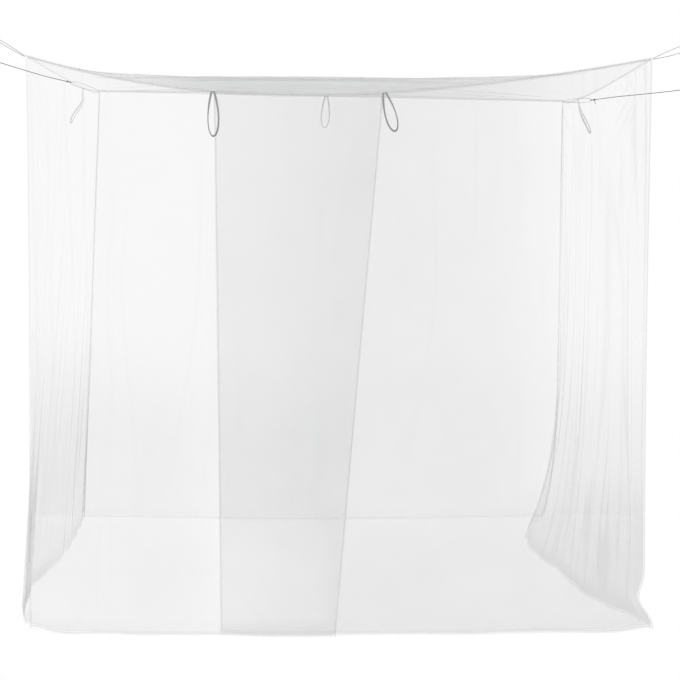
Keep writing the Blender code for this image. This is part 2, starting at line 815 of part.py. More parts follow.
def corner_cord(at, look):
    """Cord of one corner: the knot in the corner loop, the taut cord and the knotted end loop."""
    route = cord_route(at)
    knot(at + "_cord_knot", route[0], (route[1] - route[0]).normalized(), cord_ring_radius, -1, look,
         tail=(at == "rear_right"))
    cord(at + "_cord", at, look)
    knot(at + "_cord_end_loop", route[-1], (route[-1] - route[-2]).normalized(), end_ring_radius, 1, look)


def build():
    clear_scene()
    netting = principled("white_netting", (0.78, 0.79, 0.80), 0.75)
    tape = principled("white_tape", (0.70, 0.71, 0.72), 0.70)
    cord_look = principled("dark_cord", (0.06, 0.06, 0.065), 0.65)

    roof_net(netting)
    for name, wall in (("rear", rear_wall), ("left", left_wall), ("right", right_wall)):
        wall_net(name + "_wall_net", wall, netting)
        wall_hem(name + "_hem", wall, tape)
    for name, wall in (("front", front_wall), ("rear", rear_wall), ("left", left_wall), ("right", right_wall)):
        edge_tape(name + "_edge_tape", wall, tape)
    for at, wall, s in (("front_left", left_wall, 0), ("front_right", right_wall, 0),
                        ("rear_left", left_wall, 1), ("rear_right", right_wall, 1)):
        corner_seam(at + "_seam", wall, s, corner_outward(at), tape)
        corner_loop(at + "_corner_loop", at, tape)
        corner_cord(at, cord_look)

    panels = (("outer", make_panel(1, -1, outer_edge_shares, outer_fold_foot_share)),
              ("inner", make_panel(-1, 1, inner_edge_shares, inner_fold_foot_share)))
    for name, panel in panels:
        hinge = flap_pivot(name + "_flap_pivot", panel)
        panel_net(name + "_panel_net", panel, netting)
        facing(name + "_panel_facing", panel, tape)
        front_hem(name + "_panel_hem", panel, tape)
        flap_net(name + "_flap_net", panel, netting, hinge)
        facing(name + "_flap_facing", panel, tape, hinge)
        front_hem(name + "_flap_hem", panel, tape, hinge)

    outer_place = front_place(panels[0][1].edge_top, 0.0)
    inner_place = front_place(panels[1][1].edge_top, 0.0)
    tie_loop("front_left_tie_loop", front_wall, inner_place, front_loop_lean_degrees,
             front_left_loop_slant_share, tape)
    tie_loop("front_right_tie_loop", front_wall, outer_place, front_loop_lean_degrees,
             front_right_loop_slant_share, tape)
    tie_loop("rear_tie_loop", rear_wall, rear_loop_place_share, rear_loop_lean_degrees,
             rear_loop_slant_share, tape)
    tie_loop("left_tie_loop", left_wall, left_loop_place_share, side_loop_lean_degrees, 0, tape)
    tie_loop("right_tie_loop", right_wall, right_loop_place_share, side_loop_lean_degrees, 0, tape)

    for item in bpy.data.objects:
        if item.type == "EMPTY":
            turn = item.matrix_world.to_3x3() @ up
            print(item.name, "at", [round(v, 5) for v in item.matrix_world.translation],
                  "axis", [round(v, 6) for v in turn])
    for name, wall in (("rear_hem", rear_wall), ("left_hem", left_wall), ("right_hem", right_wall)):
        next_column = 0.5 + 1 / (wall.steps * wall.columns_per_step)
        place = hang(wall, 0.5, floor_level).lerp(hang(wall, next_column, floor_level), 0.5)
        print(name, "rests at", [round(v, 5) for v in place])


build()
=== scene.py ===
"""Looks of the box mosquito net: sheer cloth, sewn tapes, loops and cords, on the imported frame.

X runs along the front, Y from the front to the rear and Z up, in metres. The origin is level with
the four hanging corners.
"""

import math
from types import SimpleNamespace

import bpy
import numpy as np
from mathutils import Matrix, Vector


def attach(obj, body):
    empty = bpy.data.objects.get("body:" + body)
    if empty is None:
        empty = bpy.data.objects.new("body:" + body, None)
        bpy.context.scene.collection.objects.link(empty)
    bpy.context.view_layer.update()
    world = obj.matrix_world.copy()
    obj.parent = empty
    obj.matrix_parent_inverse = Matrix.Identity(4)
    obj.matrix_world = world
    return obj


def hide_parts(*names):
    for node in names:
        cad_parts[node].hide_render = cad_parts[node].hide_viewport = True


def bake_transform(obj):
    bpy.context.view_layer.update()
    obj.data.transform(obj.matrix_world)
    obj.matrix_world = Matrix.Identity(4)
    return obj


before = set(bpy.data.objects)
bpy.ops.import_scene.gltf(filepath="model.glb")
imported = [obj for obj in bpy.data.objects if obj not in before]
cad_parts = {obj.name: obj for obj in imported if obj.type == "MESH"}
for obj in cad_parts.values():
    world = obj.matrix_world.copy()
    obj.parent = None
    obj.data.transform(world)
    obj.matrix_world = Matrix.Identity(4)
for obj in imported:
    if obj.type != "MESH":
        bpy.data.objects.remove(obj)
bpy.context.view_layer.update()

# Sizes of the net and its tapes
half_width, half_depth, net_height = 1.00, 0.80, 1.87
floor_level = -net_height
tape_thickness, loop_tape_thickness = 0.0016, 0.0012
edge_tape_width, seam_tape_width, facing_width, hem_height = 0.012, 0.008, 0.010, 0.015
tie_loop_tape_width, corner_loop_tape_width = 0.007, 0.008
sewing_gap, strand_gap, flap_floor_gap = 0.0003, 0.001, 0.002
cord_diameter, ring_radius, end_ring_radius = 0.003, 0.0070, 0.011
knot_radius, knot_length, tail_length = 0.0034, 0.011, 0.018
mesh_pitch, stitch_pitch = 0.0014, 0.0034

# Corners as shares of half the width, half the depth and the height; feet of the upright seams
corner_shares = {
    "front_left": (-0.990, -1.0, 0.002),
    "front_right": (1.012, -1.0, -0.002),
    "rear_left": (-1.030, 1.0, 0.013),
    "rear_right": (0.988, 1.0, -0.010),
}
foot_shares = {
    "front_left": (-1.000, -1.106),
    "front_right": (1.010, -1.110),
    "rear_left": (-1.130, 1.0),
    "rear_right": (0.930, 1.0),
}
# Metres that the cloth is drawn in above each front foot, and spread and drawn back on the floor
foot_settling = {"front_left": (0.0, 0.012, 0.060), "front_right": (0.026, 0.038, 0.050)}
# Routes of the cords out from their corners
cord_routes = {
    "front_left": ((-0.147, -0.031, 0.084), (-0.188, -0.040, 0.107), (-0.230, -0.049, 0.132)),
    "front_right": ((0.147, -0.031, 0.046), (0.188, -0.040, 0.059), (0.230, -0.049, 0.073)),
    "rear_left": ((-0.147, 0.031, 0.043), (-0.240, 0.051, 0.066), (-0.330, 0.070, 0.092),
                  (-0.420, 0.089, 0.120), (-0.509, 0.108, 0.149)),
    "rear_right": ((0.147, 0.031, 0.008), (0.246, 0.052, 0.022), (0.391, 0.083, 0.038),
                   (0.492, 0.104, 0.050), (0.592, 0.126, 0.063)),
}
up = Vector((0, 0, 1))


# Helpers for numbers and points

norm = np.linalg.norm


def fade(value):
    """Smooth step from 0 to 1."""
    t = np.clip(value, 0.0, 1.0)
    return t * t * (3 - 2 * t)


def mix(a, b, share):
    return a + (b - a) * share


def arch(share):
    """0 at both ends of a span and 1 in its middle."""
    return 4 * share * (1 - share)


def hump(value, width):
    """1 where the value is 0, dying away over the width."""
    return np.exp(-(value / width) ** 2)


def curve_bend(t, pull_a, pull_b):
    """What the pulls at both ends of a span add to a smooth step between them."""
    return pull_a * (t ** 3 - 2 * t * t + t) + pull_b * (t ** 3 - t * t)


def smooth_through(table, at):
    """Values on the smooth curve through the (place, value) pairs of a table."""
    places, values = np.array(table, float).T
    here = np.arange(len(places))
    before, after = np.maximum(here - 1, 0), np.minimum(here + 1, len(places) - 1)
    slopes = (values[after] - values[before]) / (places[after] - places[before])
    k = np.searchsorted(places[1:-1], at, side="left")
    span = places[k + 1] - places[k]
    t = (at - places[k]) / span
    return mix(values[k], values[k + 1], fade(t)) + span * curve_bend(t, slopes[k], slopes[k + 1])


def noise(x, y, seed):
    """Smooth random waves from -1 to 1, with one random value at each whole number."""
    size = 128
    table = np.random.default_rng(seed).uniform(-1, 1, (size, size))
    i, j = np.floor(x).astype(int), np.floor(y).astype(int)
    u, v = fade(x - i), fade(y - j)
    rows = [mix(table[i % size, k % size], table[(i + 1) % size, k % size], u) for k in (j, j + 1)]
    return mix(rows[0], rows[1], v)


def creases(x, y, seed):
    """Sharp ridges along the places where smooth random waves pass through 0."""
    return 1 - 2 * np.abs(noise(x, y, seed)) ** 0.7


def pleats(x, y, pitch, run, seed):
    """Smooth folds that run down the cloth and wander on their way, from -1 to 1."""
    drift = 0.7 * noise(x / (3 * pitch), y / (0.6 * run), seed + 500)
    return noise(x / pitch + drift, y / run + 7.3, seed)


def pinches(x, y, pitch, run, seed):
    """Thin lines, here and there, along which the cloth is pinched together, from 0 to 1."""
    line = 1 - np.abs(pleats(x, y, pitch, run, seed)) / 0.22
    shown = fade(1.6 * noise(x / (1.7 * pitch) + 3.1, y / (0.8 * run), seed + 900) + 0.3)
    return np.clip(line, 0, 1) * shown


def points_of(x, y, z):
    return np.stack(np.broadcast_arrays(x, y, z), axis=-1).astype(float)


def corner(name):
    return np.array(corner_shares[name]) * (half_width, half_depth, net_height)


def foot(name):
    x, y = foot_shares[name]
    return np.array((x * half_width, y * half_depth, floor_level))


def column(values):
    """Numbers with an axis added, to go with points."""
    return np.asarray(values, float)[..., None]


# Roof edges and hanging walls, as the frame has them. A roof edge bows inwards and sags, lowest to
# one side by its skew. At shares of a wall's length, floor is how far out its foot lies, and lean
# how late it leaves the roof's line for the floor's.

def wall_of(start, end, outward, **facts):
    wall = SimpleNamespace(start=start, end=end, outward=np.array(outward, float), **facts)
    wall.length = float(norm(corner(end) - corner(start)))
    return wall


front = wall_of("front_left", "front_right", (0, -1, 0), bow=0.050, sag=0.115, skew=0.07,
                floor=((0, 0), (0.5, 0.040), (1, 0)), lean=((0, 1.5), (0.5, 1.2), (1, 3.0)),
                fold_depth=0.004, fold_count=5)
rear = wall_of("rear_left", "rear_right", (0, 1, 0), bow=0.060, sag=0.004, skew=0,
               floor=((0, 0), (0.5, -0.050), (1, 0)), lean=((0, 1.0), (0.5, 1.6), (1, 8.0)),
               fold_depth=0.006, fold_count=4)
left = wall_of("front_left", "rear_left", (-1, 0, 0), bow=0.055, sag=0.045, skew=0,
               floor=((0, 0), (0.09, 0.045), (0.30, 0.075), (0.50, 0.030), (0.70, 0.004), (1, 0)),
               lean=((0, 1.5), (0.5, 1.3), (1, 1.0)), fold_depth=0.013, fold_count=9)
right = wall_of("front_right", "rear_right", (1, 0, 0), bow=0.055, sag=0.050, skew=0,
                floor=((0, 0), (0.12, -0.012), (0.25, -0.090), (0.45, -0.122), (0.66, -0.165),
                       (0.85, -0.120), (1, 0)),
                lean=((0, 3.0), (0.3, 4.0), (0.6, 5.0), (1, 8.0)), fold_depth=0.013, fold_count=9)


def roof_edge(wall, s):
    """Points of a roof edge, which sags and bows inwards between its two corners."""
    s = np.asarray(s, float)
    w = s + wall.skew * np.sin(math.pi * s)
    points = mix(corner(wall.start), corner(wall.end), column(s))
    points = points - wall.outward * column(wall.bow * arch(s))
    points[..., 2] -= wall.sag * arch(w)
    return points


def floor_line(wall, s):
    points = mix(foot(wall.start), foot(wall.end), column(s))
    return points + wall.outward * column(smooth_through(wall.floor, s) * half_width)


def fold_wave(wall, s, drop):
    """Broad folds that start below the roof edge and drift along the wall on their way down."""
    turn = math.tau * (wall.fold_count * s + 0.35 * drop * np.sin(math.tau * s))
    wave = np.sin(turn) + 0.35 * np.sin(1.9 * turn + 1.0)
    return wave * fade(s / 0.05) * fade((1 - s) / 0.05) * fade(drop / 0.20)


def hang(wall, s, z, folds=1.0):
    """Points of a hanging wall at the heights z and the shares s of the way along it."""
    s, z = np.broadcast_arrays(np.clip(s, 0, 1), z)
    top = roof_edge(wall, s)
    drop = np.maximum((top[..., 2] - z) / (top[..., 2] - floor_level), 0)
    points = mix(top, floor_line(wall, s), column(drop ** smooth_through(wall.lean, s)))
    points[..., 2] = z
    return points + wall.outward * column(folds * wall.fold_depth * fold_wave(wall, s, drop))


def hang_softly(wall, s, z):
    """The same wall with its even folds calmed, most of all where it stands on the floor."""
    return hang(wall, s, z, folds=0.25 + 0.10 * fade((z - floor_level) / 0.35))


def settled(points):
    """Cloth round the two front feet, drawn in above the floor and spread where it lies on it."""
    points = np.array(points, float)
    height = points[..., 2] - floor_level
    low, waist = 1 - fade(height / 0.16), hump(height - 0.105, 0.055)
    for at, (drawn_in, spread, drawn_back) in foot_settling.items():
        way = math.copysign(1, corner_shares[at][0])
        away = np.hypot(points[..., 0] - foot(at)[0], points[..., 1] - foot(at)[1])
        near, round_corner = 1 - fade(away / 0.26), 1 - fade(away / 0.13)
        points[..., 0] += way * near * (spread * low - drawn_in * waist)
        points[..., 1] += drawn_back * low * round_corner
    return points


# Mesh building

def add_mesh(name, points, faces, look, cloth, cover=None):
    """Piece from points and faces; cloth holds each point's place on the flat cloth, in metres."""
    mesh = bpy.data.meshes.new(name)
    mesh.from_pydata(np.asarray(points, float).reshape(-1, 3).tolist(), [], faces)
    lay = mesh.attributes.new("cloth", "FLOAT_VECTOR", "POINT")
    lay.data.foreach_set("vector", np.asarray(cloth, float).reshape(-1))
    if cover is not None:
        mesh.attributes.new("cover", "FLOAT", "POINT").data.foreach_set("value", cover.reshape(-1))
    mesh.shade_smooth()
    mesh.materials.append(look)
    piece = bpy.data.objects.new(name, mesh)
    bpy.context.scene.collection.objects.link(piece)
    return piece


def grid_faces(rows, columns, closed=False):
    index = np.arange(rows * columns).reshape(rows, columns)
    if closed:
        index = np.hstack([index, index[:, :1]])
    faces = np.stack([index[:-1, :-1], index[:-1, 1:], index[1:, 1:], index[1:, :-1]], axis=-1)
    return faces.reshape(-1, 4).tolist()


def normals_of(points):
    """Surface directions over a grid of points."""
    down, across = np.gradient(points, axis=0), np.gradient(points, axis=1)
    normals = np.cross(down, across)
    return normals / np.maximum(norm(normals, axis=-1, keepdims=True), 1e-12)


def net(name, points, relief, cover, look, nodes, outward, most=0.32):
    """Sheet of netting, raised by its relief; folds show denser, as more thread crosses them.

    cover is the share of the surface that the thread hides, up to most."""
    points = settled(points)
    normals = normals_of(points)
    if float((normals * outward).sum()) < 0:
        normals = -normals
    shaped = points + normals * column(relief)
    slant = np.abs((normals_of(shaped) * normals).sum(axis=-1))
    density = np.clip(cover / np.maximum(slant, 0.6) ** 1.5, 0, most)
    rows, columns = shaped.shape[:2]
    down = norm(np.diff(shaped, axis=0), axis=-1)
    across = norm(np.diff(shaped, axis=1), axis=-1)
    v = np.vstack([np.zeros((1, columns)), np.cumsum(down, axis=0)])
    u = np.hstack([np.zeros((rows, 1)), np.cumsum(across, axis=1)])
    faces = grid_faces(rows, columns)
    piece = add_mesh(name, shaped, faces, look, points_of(u, v, 0), density)
    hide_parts(*nodes)
    return piece


def strip(name, side_a, side_b, thickness, look, node=None, body="root", cover=1.0):
    """Tape between two lines of points, with a rounded flat section and closed ends."""
    side_a, side_b = settled(side_a), settled(side_b)
    section = ((-0.5, -0.2), (-0.5, 0.2), (-0.44, 0.5), (0, 0.56), (0.44, 0.5),
               (0.5, 0.2), (0.5, -0.2), (0.44, -0.5), (0, -0.56), (-0.44, -0.5))
    middle, across = (side_a + side_b) / 2, side_b - side_a
    normal = np.cross(np.gradient(middle, axis=0), across)
    normal /= norm(normal, axis=-1, keepdims=True)
    points = np.stack([middle + across * w + normal * (thickness * t) for w, t in section], axis=1)
    along = np.concatenate([[0], np.cumsum(norm(np.diff(middle, axis=0), axis=-1))])
    width = norm(across, axis=-1)
    cloth = np.stack([points_of(along, width * w, t) for w, t in section], axis=1)
    count, sides = len(middle), len(section)
    faces = grid_faces(count, sides, closed=True)
    faces += [tuple(range(sides)), tuple(range(count * sides - 1, (count - 1) * sides - 1, -1))]
    covers = np.broadcast_to(column(cover), (count, sides)).astype(float)
    piece = add_mesh(name, points, faces, look, cloth, covers)
    if node:
        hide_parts(node)
    if body:
        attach(piece, body)
    return piece


def tube(name, points, radius, look, sides=10, closed=False):
    """Round cord through points, with domed ends unless it is closed."""
    points = np.asarray(points, float)
    radii = np.full(len(points), float(radius))
    if not closed:
        ahead, behind = points[-1] - points[-2], points[0] - points[1]
        caps = [(0.6, 0.8), (0.9, 0.45), (1.0, 0.05)]
        front_cap = [points[-1] + ahead / norm(ahead) * radius * out for out, _ in caps]
        rear_cap = [points[0] + behind / norm(behind) * radius * out for out, _ in caps]
        points = np.vstack([rear_cap[::-1], points, front_cap])
        shrink = [radius * share for _, share in caps]
        radii = np.concatenate([shrink[::-1], radii, shrink])
    runs = [Vector(p) for p in points]
    count, side = len(runs), None
    rings, cloth, along = [], [], 0.0
    for k in range(count):
        a = runs[k - 1] if (k or closed) else runs[0]
        b = runs[(k + 1) % count] if (k < count - 1 or closed) else runs[-1]
        tangent = (b - a).normalized()
        if side is None:
            side = tangent.cross(up if abs(tangent.z) < 0.9 else Vector((1, 0, 0)))
        side = (side - tangent * side.dot(tangent)).normalized()
        top = tangent.cross(side)
        along += (runs[k] - runs[k - 1]).length if k else 0.0
        for j in range(sides):
            angle = math.tau * j / sides
            rings.append(runs[k] + (side * math.cos(angle) + top * math.sin(angle)) * radii[k])
            cloth.append((along, j / sides, 0))
    faces = grid_faces(count, sides, closed=True)
    if closed:
        last = (count - 1) * sides
        faces += [(last + j, last + (j + 1) % sides, (j + 1) % sides, j) for j in range(sides)]
    else:
        faces += [tuple(range(sides)), tuple(range(count * sides - 1, (count - 1) * sides - 1, -1))]
    piece = add_mesh(name, rings, faces, look, cloth)
    return piece


# Materials

class Nodes:
    """Short way to build the nodes of a material or a world."""

    def __init__(self, owner, output="ShaderNodeOutputMaterial"):
        owner.use_nodes = True
        self.owner, self.tree = owner, owner.node_tree
        self.tree.nodes.clear()
        self.output = self.add(output)

    def add(self, kind, inputs=None, **facts):
        node = self.tree.nodes.new(kind)
        for key, value in facts.items():
            setattr(node, key, value)
        for key, value in (inputs or {}).items():
            if isinstance(value, bpy.types.NodeSocket):
                self.tree.links.new(value, node.inputs[key])
            else:
                node.inputs[key].default_value = value
        return node

    def maths(self, operation, a, b=0.0, c=0.0):
        return self.add("ShaderNodeMath", {0: a, 1: b, 2: c}, operation=operation).outputs[0]

    def times(self, a, b):
        return self.maths("MULTIPLY", a, b)

    def attribute(self, name, output="Fac"):
        node = self.add("ShaderNodeAttribute", attribute_name=name, attribute_type="GEOMETRY")
        return node.outputs[output]

    def split(self, place):
        """The first two numbers of a place."""
        parts = self.add("ShaderNodeSeparateXYZ", {0: place}).outputs
        return parts[0], parts[1]

    def ramp(self, value, start, end, low=0.0, high=1.0, kind="SMOOTHSTEP"):
        """low up to the start and high from the end on."""
        return self.add("ShaderNodeMapRange", {"Value": value, 1: start, 2: end, 3: low, 4: high},
                        interpolation_type=kind).outputs[0]

    def patches(self, place, scale, **facts):
        facts = {"Vector": place, "Scale": scale, **facts}
        return self.add("ShaderNodeTexNoise", facts).outputs["Fac"]

    def colours(self, factor, dark, light):
        ramp = self.add("ShaderNodeValToRGB", {"Fac": factor})
        ramp.color_ramp.elements[0].color = (*dark, 1)
        ramp.color_ramp.elements[1].color = (*light, 1)
        return ramp.outputs["Color"]

    def waves(self, coordinate, pitch):
        """Sine waves with a given pitch in metres, from 0 to 1."""
        angle = self.times(coordinate, math.tau / pitch)
        return self.maths("MULTIPLY_ADD", self.maths("SINE", angle), 0.5, 0.5)

    def bump(self, height, strength, distance):
        facts = {"Height": height, "Strength": strength, "Distance": distance}
        return self.add("ShaderNodeBump", facts).outputs[0]

    def stitched(self, along, weave, row, patches, dark, light, thread, weave_shade, weave_height,
                 strength):
        """Colour and relief of woven cloth, shaded by weave and patches, and stitched in a row."""
        step = self.maths("FRACT", self.maths("DIVIDE", along, stitch_pitch))
        stitch = self.times(row, self.maths("LESS_THAN", step, 0.72))
        woven = self.colours(self.maths("MULTIPLY_ADD", weave, weave_shade, patches), dark, light)
        # 6, 7 and 2 are this node's sockets for colours
        colour = self.add("ShaderNodeMix", {0: stitch, 6: woven, 7: (*thread, 1)}, data_type="RGBA")
        height = self.maths("MULTIPLY_ADD", stitch, 0.8, self.times(weave, weave_height))
        return colour.outputs[2], self.bump(height, strength, 0.0003)

    def seen(self):
        """1 for what is looked at, straight or through something, and 0 for light on its way."""
        rays = self.add("ShaderNodeLightPath").outputs
        straight = self.maths("MAXIMUM", rays["Is Camera Ray"], rays["Is Glossy Ray"])
        return self.maths("MAXIMUM", straight, rays["Is Transmission Ray"])

    def blend(self, share, first, second):
        return self.add("ShaderNodeMixShader", {0: share, 1: first, 2: second}).outputs[0]

    def surface(self, shader):
        self.tree.links.new(shader, self.output.inputs["Surface"])
        return self.owner

    def sheer(self, cover, colour, relief):
        """Thread that light partly passes, over the cover's share of the cloth, and else holes."""
        thread = self.add("ShaderNodeBsdfPrincipled", {
            "Base Color": colour, "Roughness": 0.75, "Specular IOR Level": 0.25, "Normal": relief})
        through = self.add("ShaderNodeBsdfTranslucent", {"Color": colour, "Normal": relief})
        cloth = self.blend(0.5, thread.outputs[0], through.outputs[0])
        holes = self.add("ShaderNodeBsdfTransparent")
        return self.surface(self.blend(cover, holes.outputs[0], cloth))


def cloth_nodes(name):
    """Nodes of a new material, the place on the flat cloth, and that place's two numbers."""
    n = Nodes(bpy.data.materials.new(name))
    place = n.attribute("cloth", "Vector")
    return n, place, *n.split(place)


def netting_look():
    """Sheer knitted mesh: thread over open holes, so it lets most of what is behind it through."""
    n, place, u, v = cloth_nodes("white_netting")
    thread_u = n.waves(n.maths("MULTIPLY_ADD", v, 0.5, u), mesh_pitch)
    thread_v = n.waves(n.maths("MULTIPLY_ADD", u, -0.5, v), mesh_pitch)
    knit = n.times(thread_u, thread_v)
    shade = n.maths("MULTIPLY_ADD", knit, 0.12, n.patches(place, 9.0, Detail=3.0, Roughness=0.6))
    colour = n.colours(shade, (0.50, 0.503, 0.508), (0.62, 0.623, 0.628))
    relief = n.bump(n.patches(place, 350.0, Detail=2.0), 0.30, 0.0004)
    slack = n.patches(place, 3.0, Detail=5.0, Roughness=0.65)
    uneven = n.maths("MULTIPLY_ADD", slack, 0.30, 0.85)
    return n.sheer(n.times(n.attribute("cover"), uneven), colour, relief)


def sewn_look():
    """Hem or seam of folded netting, with a line of stitches along its middle."""
    n, place, along, across = cloth_nodes("sewn_netting")
    ribs = n.times(n.waves(along, mesh_pitch), n.waves(across, mesh_pitch))
    off_middle = n.maths("ABSOLUTE", across)
    patches = n.times(n.patches(place, 40.0, Detail=4.0), 0.7)
    colour, relief = n.stitched(
        along, ribs, n.maths("LESS_THAN", off_middle, 0.0006), patches,
        dark=(0.46, 0.463, 0.468), light=(0.58, 0.583, 0.588), thread=(0.76,) * 3,
        weave_shade=0.3, weave_height=0.4, strength=0.5)
    line = n.ramp(off_middle, 0.0008, 0.0032, 1.0, 0.22)
    return n.sheer(n.times(n.attribute("cover"), line), colour, relief)


def tape_look():
    """Woven tape with fine ribs and a row of stitches near either edge."""
    n, place, along, across = cloth_nodes("white_tape")
    weave = n.times(n.waves(along, 0.0009), n.waves(across, 0.0011))
    off_row = n.maths("ABSOLUTE", n.maths("SUBTRACT", n.maths("ABSOLUTE", across), 0.0024))
    patches = n.times(n.patches(place, 60.0, Detail=4.0), 0.6)
    # Painted shade: the white tape is coloured mid grey, as it looks when seen against the light;
    # its weave and patches are its own.
    colour, relief = n.stitched(
        along, weave, n.maths("LESS_THAN", off_row, 0.0004), patches,
        dark=(0.40, 0.402, 0.406), light=(0.54, 0.542, 0.546), thread=(0.62,) * 3,
        weave_shade=0.35, weave_height=0.5, strength=0.6)
    return n.sheer(n.attribute("cover"), colour, relief)


def cord_look():
    """Dark braided cord, with strands that cross around it."""
    n, place, length, turn = cloth_nodes("dark_cord")
    along = n.times(length, math.tau / cord_diameter)
    around = n.times(turn, math.tau * 3)
    one_way = n.maths("SINE", n.maths("ADD", along, around))
    other_way = n.maths("SINE", n.maths("SUBTRACT", along, around))
    braid = n.maths("MULTIPLY_ADD", n.times(one_way, other_way), 0.5, 0.5)
    fuzz = n.times(n.patches(place, 900.0, Detail=2.0), 0.3)
    shade = n.maths("MULTIPLY_ADD", braid, 0.7, fuzz)
    colour = n.colours(shade, (0.030, 0.030, 0.033), (0.125, 0.125, 0.130))
    shader = n.add("ShaderNodeBsdfPrincipled", {
        "Base Color": colour, "Roughness": n.maths("MULTIPLY_ADD", braid, -0.15, 0.75),
        "Specular IOR Level": 0.3, "Normal": n.bump(braid, 0.7, 0.0004)})
    return n.surface(shader.outputs[0])


def floor_look():
    """White floor that keeps the net's shadow under it, and is pure white behind it and far off;
    its glow is dimmed to the front and right, which is painted shade.
    """
    n = Nodes(bpy.data.materials.new("studio_floor"))
    place = n.add("ShaderNodeTexCoord").outputs["Object"]
    x, y = n.split(place)
    colour = n.colours(n.patches(place, 2.0, Detail=2.0), (0.855,) * 3, (0.875,) * 3)
    matt = n.add("ShaderNodeBsdfDiffuse", {"Color": colour})
    seen = n.seen()
    # Painted shade in the floor's glow: weaker towards the front, to even out the lamps' stronger
    # light there, and weaker towards the right, to darken the floor under the net's right side.
    glow_with_painted_shade = n.ramp(y, -0.95, 0.95, 0.7 * floor_glow, 1.2 * floor_glow, kind="LINEAR")
    strength = n.maths("SUBTRACT", glow_with_painted_shade, n.ramp(x, -0.4, 0.9, 0.0, 0.055))
    glow = n.add("ShaderNodeEmission", {"Strength": n.times(seen, strength)})
    near = n.add("ShaderNodeAddShader", {0: matt.outputs[0], 1: glow.outputs[0]})
    # How far a place is beside the net, whose view widens to the rear, or behind or in front of it
    widening = n.times(n.maths("MAXIMUM", n.maths("ADD", y, 0.9), 0.0), 0.225)
    beside = n.maths("SUBTRACT", n.maths("ABSOLUTE", x), n.maths("ADD", widening, 0.93))
    beside, behind = n.times(beside, 1.8), n.maths("MULTIPLY_ADD", y, 2.0, -1.60)
    away = n.maths("MAXIMUM", n.maths("MAXIMUM", beside, behind), n.maths("SUBTRACT", -0.93, y))
    white = n.add("ShaderNodeEmission", {"Strength": 1.0})
    share = n.times(seen, n.ramp(away, 0.0, 0.18))
    return n.surface(n.blend(share, near.outputs[0], white.outputs[0]))


# Camera, floor and light, as in the photograph's studio

floor_glow, ambient_level = 0.19, 0.70
sensor_width, picture_pixels, focal_pixels = 36.0, 680, 1380
camera_place, camera_dip, camera_turn_pixels = (0, -5.303, -0.470), 0.098, 4


def set_camera():
    data = bpy.data.cameras.new("camera")
    data.sensor_width, data.lens = sensor_width, sensor_width * focal_pixels / picture_pixels
    camera = bpy.data.objects.new("camera", data)
    camera.location = camera_place
    turn = -math.atan(camera_turn_pixels / focal_pixels)
    camera.rotation_euler = (math.pi / 2 - math.atan(camera_dip), 0, turn)
    bpy.context.scene.collection.objects.link(camera)
    bpy.context.scene.camera = camera


def set_world():
    """White where it is looked at, and a softer level for the light that it gives."""
    n = Nodes(bpy.data.worlds.new("studio"), "ShaderNodeOutputWorld")
    ambient, white = (n.add("ShaderNodeBackground", {"Color": (1, 1, 1, 1), "Strength": strength})
                      for strength in (ambient_level, 1.0))
    bpy.context.scene.world = n.surface(n.blend(n.seen(), ambient.outputs[0], white.outputs[0]))


def add_lamp(name, place, target, size, power):
    data = bpy.data.lights.new(name, "AREA")
    data.shape, data.size, data.energy = "DISK", size, power
    lamp = bpy.data.objects.new(name, data)
    lamp.location = place
    lamp.rotation_euler = (Vector(target) - Vector(place)).to_track_quat("-Z", "Y").to_euler()
    bpy.context.scene.collection.objects.link(lamp)


def set_studio():
    scene = bpy.context.scene
    scene.view_settings.view_transform = "Standard"
    scene.cycles.transparent_max_bounces = 96
    scene.cycles.max_bounces = 8
    mesh, reach = bpy.data.meshes.new("studio_floor"), 14
    corners = [(x * reach, y * reach, 0) for x, y in ((-1, -1), (1, -1), (1, 1), (-1, 1))]
    mesh.from_pydata(corners, [], [(0, 1, 2, 3)])
    mesh.materials.append(floor_look())
    ground = bpy.data.objects.new("studio_floor", mesh)
    ground.location.z = floor_level - 0.001  # just clear of the hems
    scene.collection.objects.link(ground)
    set_world()
    middle = (0, 0, -0.9)
    add_lamp("overhead_light", (0.6, -0.8, 3.6), middle, size=3.6, power=130)
    add_lamp("front_light", (-2.6, -5.4, 1.8), middle, size=2.6, power=70)


# Cords and knots

def smooth_route(points, spacing):
    """Even points on the smooth curve through a route's own points, between its two knots."""
    fine, steps = [], 40
    for k in range(len(points) - 1):
        before, after = points[max(k - 1, 0)], points[min(k + 2, len(points) - 1)]
        pull_a, pull_b = (points[k + 1] - before) / 2, (after - points[k]) / 2
        for t in np.arange(steps) / steps:
            fine.append(mix(points[k], points[k + 1], fade(t)) + curve_bend(t, pull_a, pull_b))
    fine = np.array(fine + [points[-1]])
    runs = np.concatenate([[0], np.cumsum(norm(np.diff(fine, axis=0), axis=-1))])
    ends = knot_length / 2 + sewing_gap
    wanted = np.linspace(ends, runs[-1] - ends, max(round(runs[-1] / spacing), 15))
    return np.stack([np.interp(wanted, runs, fine[:, k]) for k in range(3)], axis=-1)


def frame_along(ahead):
    side = np.cross(ahead, (0, 0, 1))
    side /= norm(side)
    return side, np.cross(side, ahead)


